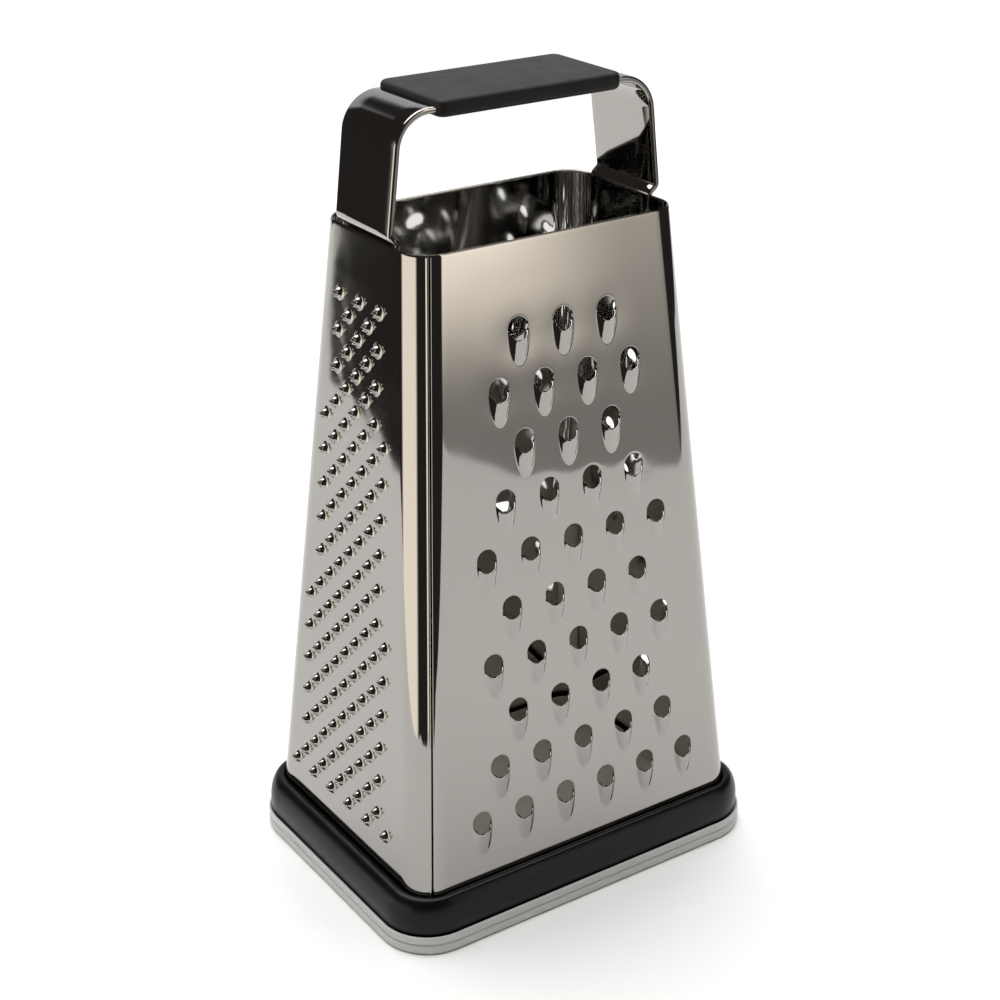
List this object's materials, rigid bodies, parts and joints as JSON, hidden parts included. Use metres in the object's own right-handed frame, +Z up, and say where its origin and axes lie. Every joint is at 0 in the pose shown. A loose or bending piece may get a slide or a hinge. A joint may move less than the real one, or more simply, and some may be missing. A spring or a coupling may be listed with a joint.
{
  "type": "box grater",
  "caption": "Four-sided tapering box grater of wrapped sheet steel with a strap handle, a soft grip, a plastic foot ring and a lift-off bottom cover.",
  "frame": {"origin": "centre of the bottom cover's underside, on the surface that the grater stands on", "axes": "+Z up towards the handle, -Y out of the coarse face, -X out of the fine face, +X out of the medium face, +Y out of the slicing face"},
  "size_m": [0.1306, 0.0984, 0.24],
  "materials": {
    "body_steel": "bright sheet with fine horizontal brushing",
    "strap_steel": "mirror polished",
    "grip_rubber": "matte",
    "ring_plastic": "satin",
    "cover_plastic": "frosted"
  },
  "bodies": {
    "cover": {"bottom_cover": "cover_plastic"},
    "grater": {"grater_body": "body_steel", "handle_strap": "strap_steel", "handle_grip": "grip_rubber", "base_ring": "ring_plastic"}
  },
  "joints": [
    {"name": "lift_off", "type": "slide", "parent": "cover", "child": "grater", "axis": [0, 0, 1], "range_m": [0, 0.04]}
  ]
}
